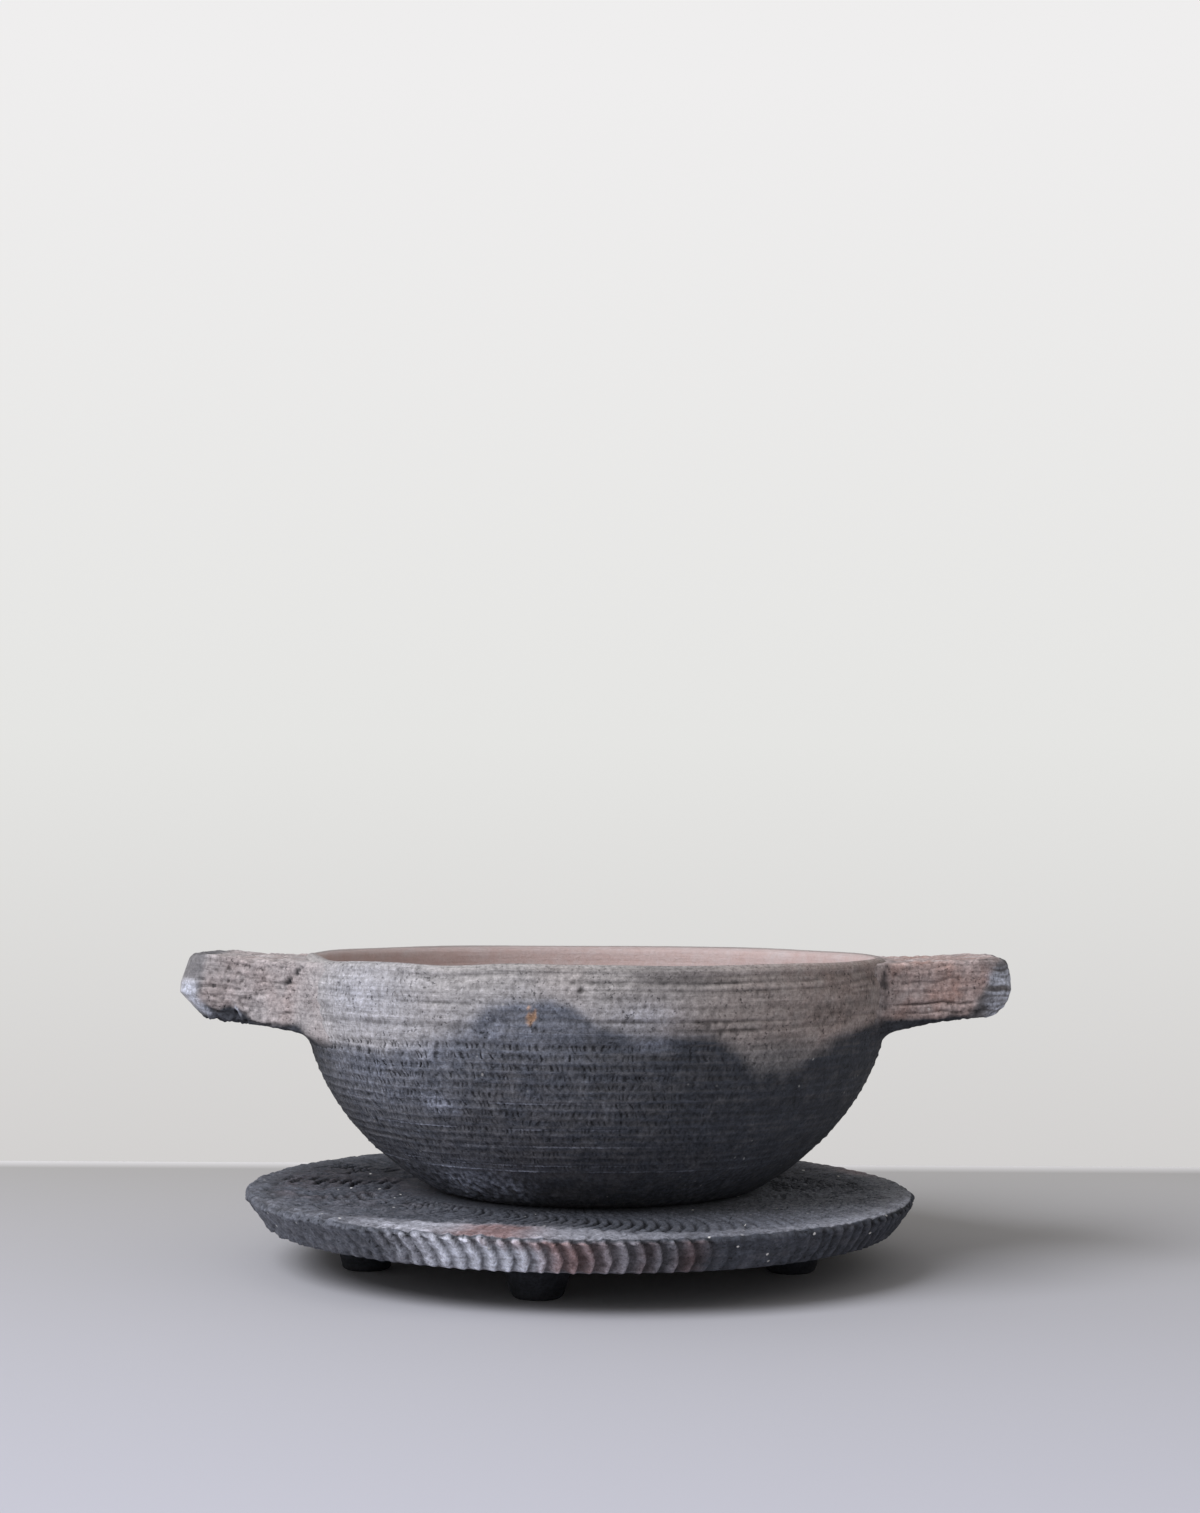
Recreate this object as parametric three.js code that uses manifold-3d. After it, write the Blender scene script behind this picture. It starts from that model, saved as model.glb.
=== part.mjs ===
// Two-handled cooking pot of smoke-fired clay, standing loose on its round footed stand.
// Millimetres, +Z up. The origin lies on the ground under the middle of the object,
// +X runs through the handles and the front faces -Y.
import * as THREE from "three";
import { mergeVertices } from "three/addons/utils/BufferGeometryUtils.js";
import Module from "manifold-3d";

// Bowl, thrown in one piece. The shoulder, its widest place, lies a drop below the rim.
const potHeight = 88.7;
const rimDiameter = 224;
const shoulderDiameter = 226;
const shoulderDrop = 11;
const baseDiameter = 122;
const wallThickness = 7;
const lipThickness = 6;
const floorThickness = 8;

// Slab handles, luted to the shoulder one on each side. The two are shaped by hand, so their
// heights differ: top and underside of the root below the rim, and top of the tip above it.
const handleSpan = 317;
const handleRootWidth = 78;
const handleTipWidth = 56;
const handleTipCorner = 16;
const handleEdgeRadius = 5;
const leftHandle = { rootTop: 2.7, rootUnderside: 28.9, tipRise: 0.3, tipThickness: 24.7 };
const rightHandle = { rootTop: 1.6, rootUnderside: 27.9, tipRise: 0.6, tipThickness: 22.6 };

// Round stand: a thick plate whose side leans in towards its underside.
const plateDiameter = 255.2;
const plateThickness = 13.1;
const plateUndercut = 7.8;
const plateEdge = 1.2;
const plateOffset = -5.6;

// Flutes round the plate's side, deepest where the tool pressed hardest. Angles in this file are
// degrees anticlockwise from +X. A flute leans back by some millimetres at each share of the thickness.
const fluteCount = 137;
const fluteDepth = 1.5;
const fluteFaintest = 0.4;
const fluteRidge = 0.84;
const fluteFront = 265;
const fluteSpread = 30;
const fluteRows = [
  { rise: 0, lean: -1.2 },
  { rise: 0.3, lean: 0 },
  { rise: 0.86, lean: -2.75 },
];

// Bowed marks that the tool chattered into the top, between the pot and a margin along the edge.
// They stop short of a patch that was smoothed over again.
const markCount = 36;
const markDepth = 1.2;
const markWidth = 3.4;
const markBow = 7.5;
const markEndShare = 0.3;
const markClearance = 11;
const markMargin = 11.6;
const smoothPatch = 15;
const smoothPatchAngle = 247;
const smoothPatchSpread = 22;

// Stub feet under the plate, set in from its edge and spaced by eye.
const footHeight = 13.8;
const footTopDiameter = 25.5;
const footSoleDiameter = 18.6;
const footEdgeRadius = 2;
const footInset = 43.8;
const footAngles = {
  foot_left: 199,
  foot_front: 260.4,
  foot_right: 340,
  foot_back_right: 52,
  foot_back_left: 125,
};

// Film of slip under every luted piece, and the unevenness that the pot stands on.
const slipFilm = 0.3;
const seatGap = 0.3;

// Fired clay, unglazed and matt, darker where it took more smoke.
const bowlColour = "#57565a";
const leftHandleColour = "#938a82";
const rightHandleColour = "#8a776d";
const plateColour = "#4a494d";
const footColour = "#2e2e31";
const thrownRoughness = 0.85;
const tornRoughness = 0.9;

// Smoothness of round forms.
const bowlSegments = 64;
const footSegments = 20;
const bowlSteps = 5;
const edgeSteps = 3;
const handleSteps = 5;
const markSteps = 6;
const mergeDistance = 1e-4;

const shoulderHeight = potHeight - shoulderDrop;
const rimRadius = rimDiameter / 2;
const shoulderRadius = shoulderDiameter / 2;
const baseRadius = baseDiameter / 2;
const plateRadius = plateDiameter / 2;
const plateUndersideHeight = footHeight + slipFilm;
const potSeatHeight = plateUndersideHeight + plateThickness + seatGap;

const wasm = await Module();
wasm.setup();

// A closed geometry as a solid that can be cut.
function solidOf(geometry) {
  const shell = new THREE.BufferGeometry();
  shell.setAttribute("position", geometry.getAttribute("position"));
  shell.setIndex(geometry.index);
  const merged = mergeVertices(shell, mergeDistance);
  return new wasm.Manifold(
    new wasm.Mesh({
      numProp: 3,
      vertProperties: merged.attributes.position.array,
      triVerts: new Uint32Array(merged.index.array),
    }),
  );
}

// A cut solid as a geometry again.
function geometryOf(solid) {
  const mesh = solid.getMesh();
  const geometry = new THREE.BufferGeometry();
  geometry.setAttribute("position", new THREE.BufferAttribute(mesh.vertProperties, 3));
  geometry.setIndex(new THREE.BufferAttribute(mesh.triVerts, 1));
  geometry.computeVertexNormals();
  return geometry;
}

// Turns a section, drawn as radius and height from the axis round to the axis, about Z.
function turned(section, steps, segments) {
  const geometry = new THREE.LatheGeometry(section.getPoints(steps), segments);
  geometry.rotateX(Math.PI / 2);
  return geometry;
}

// Skins rings of equal length that follow one another, each anticlockwise seen from the last one,
// and closes both ends.
function lofted(rings) {
  const count = rings[0].length;
  const last = (rings.length - 1) * count;
  const index = [];
  for (let start = 0; start < last; start += count) {
    for (let i = 0; i < count; i++) {
      const here = start + i;
      const next = start + ((i + 1) % count);
      index.push(here, next, here + count);
      index.push(next, next + count, here + count);
    }
  }
  for (let i = 1; i + 1 < count; i++) {
    index.push(0, i + 1, i);
    index.push(last, last + i, last + i + 1);
  }
  const geometry = new THREE.BufferGeometry().setFromPoints(rings.flat());
  geometry.setIndex(index);
  geometry.computeVertexNormals();
  return geometry;
}

function named(name, geometry, colour, roughness) {
  const clay = new THREE.MeshStandardMaterial({ color: colour, roughness, metalness: 0 });
  const mesh = new THREE.Mesh(geometry, clay);
  mesh.name = name;
  return mesh;
}

// The belly is one elliptical arc, from the edge of the base up to the shoulder.
const bellyDepth = shoulderHeight / Math.sqrt(1 - (baseRadius / shoulderRadius) ** 2);

// Draws the outside of the bowl, from the axis up to the start of its lip.
// Growth moves the wall outwards and leaves the base where it is.
function drawOutside(section, growth) {
  const lipStart = potHeight - lipThickness / 2;
  const baseAngle = -Math.acos(baseRadius / shoulderRadius);
  section.moveTo(0, 0);
  section.lineTo(baseRadius + growth, 0);
  section.absellipse(growth, shoulderHeight, shoulderRadius, bellyDepth, baseAngle, 0);
  section.quadraticCurveTo(
    shoulderRadius + growth,
    (shoulderHeight + lipStart) / 2,
    rimRadius + growth,
    lipStart,
  );
}

// Bowl: the outside, a round lip, and an inside that follows the wall down to a flat floor.
function bowl() {
  const lipRadius = lipThickness / 2;
  const innerRadius = shoulderRadius - wallThickness;
  const innerDepth = bellyDepth - wallThickness;
  const floorAngle = -Math.asin((shoulderHeight - floorThickness) / innerDepth);
  const section = new THREE.Path();
  drawOutside(section, 0);
  section.absarc(rimRadius - lipRadius, potHeight - lipRadius, lipRadius, 0, Math.PI);
  section.quadraticCurveTo(
    innerRadius,
    (shoulderHeight + potHeight - lipRadius) / 2,
    innerRadius,
    shoulderHeight,
  );
  section.absellipse(0, shoulderHeight, innerRadius, innerDepth, 0, floorAngle, true);
  section.lineTo(0, floorThickness);
  return turned(section, bowlSteps, bowlSegments);
}

// The space that the bowl and its film of slip take up, carried on upwards past the rim.
function bowlSpace() {
  const section = new THREE.Path();
  drawOutside(section, slipFilm);
  section.lineTo(rimRadius + slipFilm, 2 * potHeight);
  section.lineTo(0, 2 * potHeight);
  return solidOf(turned(section, bowlSteps, bowlSegments));
}

// One section across a handle: a rectangle with round corners, anticlockwise from +X.
function handleRing(x, halfWidth, bottom, top) {
  const halfHeight = (top - bottom) / 2;
  const middle = (top + bottom) / 2;
  const corner = Math.min(handleEdgeRadius, halfWidth, halfHeight);
  const ring = [];
  for (let quarter = 0; quarter < 4; quarter++) {
    const side = quarter === 0 || quarter === 3 ? 1 : -1;
    const rise = quarter < 2 ? 1 : -1;
    for (let step = 0; step <= edgeSteps; step++) {
      const angle = ((quarter + step / edgeSteps) * Math.PI) / 2;
      const y = side * (halfWidth - corner) + corner * Math.cos(angle);
      const z = middle + rise * (halfHeight - corner) + corner * Math.sin(angle);
      ring.push(new THREE.Vector3(x, y, z));
    }
  }
  return ring;
}

// How far a round corner has drawn in at a distance from its tangent end.
function drawnIn(radius, distance) {
  const within = Math.max(0, radius - distance);
  return radius - Math.sqrt(radius ** 2 - within ** 2);
}

// Slab handle that points along +X: flared where it meets the wall, with a blunt round tip.
function handle(heights) {
  const tipX = handleSpan / 2;
  const cornerX = Math.sqrt(shoulderRadius ** 2 - (handleRootWidth / 2) ** 2);
  const rootX = cornerX - 2 * wallThickness;
  const rootTop = potHeight - heights.rootTop;
  const rootBottom = potHeight - heights.rootUnderside;
  const tipTop = potHeight + heights.tipRise;
  const tipBottom = tipTop - heights.tipThickness;
  const ringAt = (x) => {
    const share = THREE.MathUtils.clamp((x - rimRadius) / (tipX - rimRadius), 0, 1);
    const flare = (1 - share) ** 2;
    const fromTip = tipX - x;
    const edge = drawnIn(handleEdgeRadius, fromTip);
    const width = THREE.MathUtils.lerp(handleTipWidth, handleRootWidth, flare);
    const top = THREE.MathUtils.lerp(rootTop, tipTop, share ** 2);
    const bottom = THREE.MathUtils.lerp(tipBottom, rootBottom, flare);
    const halfWidth = width / 2 - drawnIn(handleTipCorner, fromTip);
    return handleRing(x, halfWidth, bottom + edge, top - edge);
  };
  const shankEnd = tipX - handleTipCorner;
  const rings = [ringAt(rootX)];
  for (let step = 0; step < handleSteps; step++) {
    rings.push(ringAt(THREE.MathUtils.lerp(rimRadius, shankEnd, step / handleSteps)));
  }
  for (let step = 0; step <= handleSteps; step++) {
    const angle = ((step / handleSteps) * Math.PI) / 2;
    rings.push(ringAt(shankEnd + handleTipCorner * Math.sin(angle)));
  }
  return geometryOf(solidOf(lofted(rings)).subtract(bowlSpace()));
}

// How near an angle lies to the middle of a stretch: 1 there, fading over the spread.
function nearness(degrees, middle, spread) {
  const apart = THREE.MathUtils.euclideanModulo(degrees - middle + 180, 360) - 180;
  return Math.exp(-((apart / spread) ** 2));
}

// A point of the plate at a radius, an angle in radians and a height.
function onPlate(radius, angle, height) {
  return new THREE.Vector3(radius * Math.cos(angle), radius * Math.sin(angle), height);
}

// One ring round the plate, with a hollow and a ridge for each flute.
function plateRing(radius, height, depth, lean) {
  const ring = [];
  for (let flute = 0; flute < fluteCount; flute++) {
    const degrees = (flute / fluteCount) * 360;
    const pressed = THREE.MathUtils.lerp(fluteFaintest, 1, nearness(degrees, fluteFront, fluteSpread));
    const hollowAngle = THREE.MathUtils.degToRad(degrees) + lean / plateRadius;
    const ridgeAngle = hollowAngle + (fluteRidge / fluteCount) * 2 * Math.PI;
    ring.push(onPlate(radius - depth * pressed, hollowAngle, height));
    ring.push(onPlate(radius, ridgeAngle, height));
  }
  return ring;
}

// One mark, as the wedge that is cut out of the top: it bows forwards and fades towards both ends.
function mark(degrees) {
  const smooth = smoothPatch * nearness(degrees, smoothPatchAngle, smoothPatchSpread);
  const start = baseRadius + markClearance;
  const end = plateRadius - markMargin - smooth;
  const rings = [];
  for (let step = 0; step <= markSteps; step++) {
    const share = step / markSteps;
    const radius = THREE.MathUtils.lerp(start, end, share);
    const bow = markBow * (1 - (2 * share - 1) ** 2);
    const fade = THREE.MathUtils.lerp(markEndShare, 1, Math.sin(Math.PI * share));
    const angle = THREE.MathUtils.degToRad(degrees) + bow / radius;
    const spread = (markWidth * fade) / radius;
    const depth = markDepth * fade;
    rings.push([
      onPlate(radius, angle + spread, plateThickness + depth),
      onPlate(radius, angle - spread, plateThickness + depth),
      onPlate(radius, angle, plateThickness - depth),
    ]);
  }
  return solidOf(lofted(rings));
}

// Plate: flat underside, fluted side that leans out upwards, bevelled edge, and a top with marks.
function plate() {
  const sideHeight = plateThickness - plateEdge;
  const rings = [plateRing(0, 0, 0, 0)];
  for (const { rise, lean } of fluteRows) {
    const height = rise * plateThickness;
    const radius = plateRadius - plateUndercut * (1 - height / sideHeight);
    rings.push(plateRing(radius, height, fluteDepth, lean));
  }
  const topLean = fluteRows.at(-1).lean;
  rings.push(plateRing(plateRadius, sideHeight, 0, topLean));
  rings.push(plateRing(plateRadius - plateEdge, plateThickness, 0, topLean));
  rings.push(plateRing(0, plateThickness, 0, topLean));
  const marks = Array.from({ length: markCount }, (_, index) => mark((index / markCount) * 360));
  return geometryOf(solidOf(lofted(rings)).subtract(wasm.Manifold.union(marks)));
}

// Stub foot: narrower at the sole, with a soft lower edge.
function foot() {
  const soleRadius = footSoleDiameter / 2;
  const section = new THREE.Path();
  section.moveTo(0, 0);
  section.lineTo(soleRadius - footEdgeRadius, 0);
  section.quadraticCurveTo(soleRadius, 0, soleRadius, footEdgeRadius);
  section.lineTo(footTopDiameter / 2, footHeight);
  section.lineTo(0, footHeight);
  return turned(section, edgeSteps, footSegments);
}

const stand = new THREE.Group();
stand.position.x = plateOffset;
const plateMesh = named("stand_plate", plate(), plateColour, thrownRoughness);
plateMesh.position.z = plateUndersideHeight;
stand.add(plateMesh);
const footReach = plateRadius - footInset;
for (const [name, degrees] of Object.entries(footAngles)) {
  const angle = THREE.MathUtils.degToRad(degrees);
  const footMesh = named(name, foot(), footColour, tornRoughness);
  footMesh.position.x = footReach * Math.cos(angle);
  footMesh.position.y = footReach * Math.sin(angle);
  stand.add(footMesh);
}

const pot = new THREE.Group();
pot.position.z = potSeatHeight;
pot.add(named("pot_bowl", bowl(), bowlColour, thrownRoughness));
const rightMesh = named("right_handle", handle(rightHandle), rightHandleColour, tornRoughness);
const leftMesh = named("left_handle", handle(leftHandle), leftHandleColour, tornRoughness);
leftMesh.rotation.z = Math.PI;
pot.add(rightMesh, leftMesh);

const cookingPot = new THREE.Group();
cookingPot.add(stand, pot);

export default cookingPot;
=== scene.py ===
import math

import bpy
import numpy as np
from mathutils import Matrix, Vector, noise


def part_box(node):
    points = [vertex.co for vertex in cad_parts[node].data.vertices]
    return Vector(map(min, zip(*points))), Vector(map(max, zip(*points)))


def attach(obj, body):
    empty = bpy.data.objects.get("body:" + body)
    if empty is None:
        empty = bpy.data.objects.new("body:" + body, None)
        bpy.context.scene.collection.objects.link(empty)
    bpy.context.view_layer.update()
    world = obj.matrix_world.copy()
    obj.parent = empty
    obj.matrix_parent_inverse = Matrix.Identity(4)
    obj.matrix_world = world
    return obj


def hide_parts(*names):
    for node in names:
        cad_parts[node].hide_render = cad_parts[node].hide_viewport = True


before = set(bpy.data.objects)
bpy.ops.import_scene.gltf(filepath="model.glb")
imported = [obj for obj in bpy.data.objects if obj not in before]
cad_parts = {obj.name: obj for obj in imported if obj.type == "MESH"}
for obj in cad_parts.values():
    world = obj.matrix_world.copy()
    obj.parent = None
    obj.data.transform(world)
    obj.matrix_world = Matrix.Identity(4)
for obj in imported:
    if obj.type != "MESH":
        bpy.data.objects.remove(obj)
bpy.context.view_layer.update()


# Stub feet
# Five short cones of the stand's own clay, rolled and pinched by hand, then luted under the plate.
# Soot from the fire and painted shade from the plate above make them near black, and their soles are rubbed
# flat.
mm = 0.001


def turned(name, outline, steps):
    """Draws an outline of radius and height in mm, one edge after another, and turns it about Z."""
    bpy.ops.object.select_all(action="DESELECT")
    bpy.ops.mesh.primitive_plane_add(size=mm)
    piece = bpy.context.object
    piece.name = name
    piece.data.name = name
    bpy.ops.object.mode_set(mode="EDIT")
    bpy.ops.mesh.select_all(action="SELECT")
    bpy.ops.mesh.merge(type="CENTER")
    start = outline[0]
    bpy.ops.transform.translate(value=(start[0] * mm, 0, start[1] * mm))
    for here, there in zip(outline, outline[1:]):
        move = ((there[0] - here[0]) * mm, 0, (there[1] - here[1]) * mm)
        bpy.ops.mesh.extrude_region_move(TRANSFORM_OT_translate={"value": move})
    bpy.ops.object.mode_set(mode="OBJECT")
    bpy.ops.object.modifier_add(type="SCREW")
    lathe = piece.modifiers[-1]
    lathe.steps = steps
    lathe.render_steps = steps
    bpy.ops.object.modifier_apply(modifier=lathe.name)
    bpy.ops.object.mode_set(mode="EDIT")
    bpy.ops.mesh.select_all(action="SELECT")
    bpy.ops.mesh.remove_doubles(threshold=0.01 * mm)
    bpy.ops.mesh.normals_make_consistent(inside=False)
    bpy.ops.object.mode_set(mode="OBJECT")
    bpy.ops.object.shade_smooth()
    return piece


def even(corners, spacing):
    """Points at an even spacing along a line through corners of radius and height."""
    line = np.array(corners, float)
    along = np.concatenate(([0], np.cumsum(np.hypot(*np.diff(line, axis=0).T))))
    places = np.linspace(0, along[-1], max(2, round(along[-1] / spacing) + 1))
    return list(zip(np.interp(places, along, line[:, 0]), np.interp(places, along, line[:, 1])))


def arc(centre, radii, start, end, count=48):
    """Points on an elliptical arc of an outline, between two angles in degrees."""
    angles = np.radians(np.linspace(start, end, count))
    return list(zip(centre[0] + radii[0] * np.cos(angles), centre[1] + radii[1] * np.sin(angles)))


def points_of(piece):
    """The piece's points in mm."""
    flat = np.empty(len(piece.data.vertices) * 3)
    piece.data.vertices.foreach_get("co", flat)
    return flat.reshape(-1, 3) / mm


def normals_of(piece):
    """The directions in which the skin faces at the piece's points."""
    flat = np.empty(len(piece.data.vertices) * 3)
    piece.data.vertices.foreach_get("normal", flat)
    return flat.reshape(-1, 3)


def set_points(piece, points):
    """Moves the piece's points to places in mm."""
    piece.data.vertices.foreach_set("co", (points * mm).ravel())
    piece.data.update()


def store(piece, name, values):
    """Keeps a number, or a place in mm, at each point of the piece for its clay to read."""
    if values.ndim == 1:
        attribute = piece.data.attributes.new(name, "FLOAT", "POINT")
        attribute.data.foreach_set("value", values.astype(np.float32))
    else:
        attribute = piece.data.attributes.new(name, "FLOAT_VECTOR", "POINT")
        attribute.data.foreach_set("vector", (values * mm).astype(np.float32).ravel())


def mottle(points, cell):
    """Smooth noise from about -1 to 1 in blotches of one cell, which may be long or flat."""
    return np.array([noise.noise(place) for place in (points / cell).tolist()])


def ease(start, end, values):
    """Runs smoothly from 0 at start to 1 at end, which may also lie below start."""
    share = np.clip((values - start) / (end - start), 0, 1)
    return share * share * (3 - 2 * share)


def linear(hex_colour):
    """An sRGB hex colour as linear red, green, blue and alpha."""
    parts = [int(hex_colour[place:place + 2], 16) / 255 for place in (1, 3, 5)]
    return [*(part / 12.92 if part <= 0.04045 else ((part + 0.055) / 1.055) ** 2.4 for part in parts), 1]


def add_node(tree, kind, values, **properties):
    """Adds a shader node with its properties, and its sockets set to values or linked to outputs."""
    node = tree.nodes.new("ShaderNode" + kind)
    for name, value in properties.items():
        setattr(node, name, value)
    for socket, value in values.items():
        if isinstance(value, bpy.types.NodeSocket):
            tree.links.new(value, node.inputs[socket])
        else:
            node.inputs[socket].default_value = value
    return node


# Strokes of a tool slip sideways from tier to tier and lean as they climb, in steps of the beat.
stroke_slip = 0.37
stroke_lean = 0.4


def smoked_stoneware(name, bare, flushed, smoked, bloom, streak, sparkle):
    """Unglazed coarse stoneware out of a smoky fire: bare clay where the flame was clean, flushed where
    it was hot, charcoal where soot got in, and a pale bloom of ash. Torn grit leaves dark pits, dark
    with soot and painted shade, and quartz grains glint white. The streak is the size of a drag mark
    in mm, along each axis, and the sparkle is the strength of the brightest grain."""
    raw_clay = "#e6b894"
    pit_soot_and_shade = "#1a1b1e"
    stroke_soot_and_shade = "#1c1d21"
    quartz_white = "#e8e6e2"
    clay = bpy.data.materials.new(name)
    clay.use_nodes = True
    tree = clay.node_tree
    shader = tree.nodes["Principled BSDF"]
    grain = add_node(tree, "Attribute", {}, attribute_name="grain").outputs["Vector"]
    kept = {}
    marks = ("smoke", "flush", "ash", "relief", "torn", "rubbed", "chip", "calm", "tier", "beat", "tooled")
    for mark in marks:
        kept[mark] = add_node(tree, "Attribute", {}, attribute_name=mark).outputs["Fac"]

    # Blotches of 7 mm break the edge of the smoke, and sand of 1.5 mm and less breaks every colour.
    blotch = add_node(
        tree, "TexNoise", {"Vector": grain, "Scale": 1 / (7 * mm), "Detail": 6, "Roughness": 0.62}
    ).outputs["Fac"]
    sand = add_node(
        tree, "TexNoise", {"Vector": grain, "Scale": 1 / (1.5 * mm), "Detail": 4, "Roughness": 0.75}
    ).outputs["Fac"]
    stretch = [1 / (size * mm) for size in streak]
    lengthwise = add_node(tree, "VectorMath", {0: grain, 1: stretch}, operation="MULTIPLY").outputs[0]
    drag = add_node(
        tree, "TexNoise", {"Vector": lengthwise, "Scale": 1, "Detail": 4, "Roughness": 0.6}
    ).outputs["Fac"]

    # Heat flushes the clay in blotches. Soot soaks in unevenly over it, and ash settles on the sand. A chip
    # shows raw clay.
    warmth = add_node(tree, "Math", {0: kept["flush"], 1: blotch}, operation="MULTIPLY").outputs[0]
    warmer = add_node(tree, "Math", {0: warmth, 1: 2}, operation="MULTIPLY", use_clamp=True).outputs[0]
    colour = add_node(
        tree, "MixRGB", {"Fac": warmer, "Color1": linear(bare), "Color2": linear(flushed)}
    ).outputs[0]
    uneven = add_node(tree, "Math", {0: blotch, 1: drag}, operation="ADD").outputs[0]
    shift = add_node(tree, "Math", {0: uneven, 1: 0.5, 2: -0.5}, operation="MULTIPLY_ADD").outputs[0]
    sooty = add_node(
        tree, "Math", {0: kept["smoke"], 1: shift}, operation="ADD", use_clamp=True
    ).outputs[0]
    colour = add_node(
        tree, "MixRGB", {"Fac": sooty, "Color1": colour, "Color2": linear(smoked)}
    ).outputs[0]
    dust = add_node(tree, "Math", {0: kept["ash"], 1: sand}, operation="MULTIPLY").outputs[0]
    dusty = add_node(tree, "Math", {0: dust, 1: 2}, operation="MULTIPLY", use_clamp=True).outputs[0]
    colour = add_node(
        tree, "MixRGB", {"Fac": dusty, "Color1": colour, "Color2": linear(bloom)}
    ).outputs[0]
    colour = add_node(
        tree, "MixRGB", {"Fac": kept["chip"], "Color1": colour, "Color2": linear(raw_clay)}
    ).outputs[0]

    # Hollows hold soot and ridges are worn paler, and the relief also paints shade into the hollows and light
    # onto the ridges: 0.6 mm deep is a third as bright. Some pieces store more painted light and shade in it.
    relief_soot_and_shade = add_node(
        tree, "MapRange",
        {"Value": kept["relief"], "From Min": -0.6, "From Max": 0.35, "To Min": 0.32, "To Max": 1.2},
    ).outputs[0]
    speckle = add_node(
        tree, "MapRange",
        {"Value": sand, "From Min": 0.3, "From Max": 0.7, "To Min": 0.54, "To Max": 1.46},
    ).outputs[0]
    dragged = add_node(
        tree, "MapRange",
        {"Value": drag, "From Min": 0.3, "From Max": 0.65, "To Min": 0.72, "To Max": 1.16},
    ).outputs[0]
    marred = add_node(tree, "Math", {0: speckle, 1: dragged}, operation="MULTIPLY").outputs[0]
    marred = add_node(
        tree, "MixRGB", {"Fac": kept["calm"], "Color1": marred, "Color2": (1, 1, 1, 1)}
    ).outputs[0]
    shade = add_node(tree, "Math", {0: relief_soot_and_shade, 1: marred}, operation="MULTIPLY").outputs[0]
    colour = add_node(
        tree, "MixRGB", {"Fac": 1, "Color1": colour, "Color2": shade}, blend_type="MULTIPLY"
    ).outputs[0]

    # Pits about 1.3 mm wide, in clusters, where the tool pulled grit out of the clay, dark with soot and
    # painted shade.
    pull = add_node(
        tree, "TexNoise", {"Vector": grain, "Scale": 1 / (1.3 * mm), "Detail": 2, "Roughness": 0.5}
    ).outputs["Fac"]
    pit = add_node(
        tree, "MapRange", {"Value": pull, "From Min": 0.4, "From Max": 0.3, "To Min": 0, "To Max": 1}
    ).outputs[0]
    cluster = add_node(
        tree, "MapRange", {"Value": blotch, "From Min": 0.42, "From Max": 0.6, "To Min": 0.1, "To Max": 1}
    ).outputs[0]
    clustered = add_node(tree, "Math", {0: pit, 1: cluster}, operation="MULTIPLY").outputs[0]
    pitted = add_node(
        tree, "Math", {0: clustered, 1: kept["torn"]}, operation="MULTIPLY", use_clamp=True
    ).outputs[0]
    colour = add_node(
        tree, "MixRGB", {"Fac": pitted, "Color1": colour, "Color2": linear(pit_soot_and_shade)}
    ).outputs[0]

    # Strokes of a chattering tool: one in each step of the beat, in each tier, some deep and some missing.
    # They are dark with soot and painted shade.
    level = add_node(tree, "Math", {0: kept["tier"]}, operation="FLOOR").outputs[0]
    climb = add_node(tree, "Math", {0: kept["tier"]}, operation="FRACT").outputs[0]
    slid = add_node(
        tree, "Math", {0: level, 1: stroke_slip, 2: kept["beat"]}, operation="MULTIPLY_ADD"
    ).outputs[0]
    slid = add_node(tree, "Math", {0: climb, 1: stroke_lean, 2: slid}, operation="MULTIPLY_ADD").outputs[0]
    count = add_node(tree, "Math", {0: slid}, operation="FLOOR").outputs[0]
    phase = add_node(tree, "Math", {0: slid, 1: 0.5}, operation="PINGPONG").outputs[0]
    place = add_node(tree, "CombineXYZ", {"X": count, "Y": level}).outputs[0]
    luck = add_node(tree, "TexWhiteNoise", {"Vector": place}).outputs["Value"]
    wide = add_node(
        tree, "MapRange", {"Value": phase, "From Min": 0.26, "From Max": 0.42, "To Min": 0, "To Max": 1}
    ).outputs[0]
    tall = add_node(
        tree, "MapRange", {"Value": climb, "From Min": 0.66, "From Max": 0.3, "To Min": 0, "To Max": 1}
    ).outputs[0]
    deep = add_node(
        tree, "MapRange", {"Value": luck, "From Min": 0.3, "From Max": 0.9, "To Min": 0, "To Max": 1}
    ).outputs[0]
    stroke = add_node(tree, "Math", {0: wide, 1: tall}, operation="MULTIPLY").outputs[0]
    stroke = add_node(tree, "Math", {0: stroke, 1: deep}, operation="MULTIPLY").outputs[0]
    stroke = add_node(
        tree, "Math", {0: stroke, 1: kept["tooled"]}, operation="MULTIPLY", use_clamp=True
    ).outputs[0]
    colour = add_node(
        tree, "MixRGB", {"Fac": stroke, "Color1": colour, "Color2": linear(stroke_soot_and_shade)}
    ).outputs[0]

    # Quartz: pale grains of up to 1.3 mm, one in a cell of 8 mm, some of them dim.
    quartz = add_node(tree, "TexVoronoi", {"Vector": grain, "Scale": 1 / (8 * mm), "Randomness": 1})
    off = quartz.outputs["Distance"]
    grit = add_node(
        tree, "MapRange", {"Value": off, "From Min": 0.08, "From Max": 0.04, "To Min": 0, "To Max": sparkle}
    ).outputs[0]
    glint = add_node(
        tree, "Math", {0: grit, 1: quartz.outputs["Color"]}, operation="MULTIPLY"
    ).outputs[0]
    colour = add_node(
        tree, "MixRGB", {"Fac": glint, "Color1": colour, "Color2": linear(quartz_white)}
    ).outputs[0]
    tree.links.new(colour, shader.inputs["Base Color"])

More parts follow.
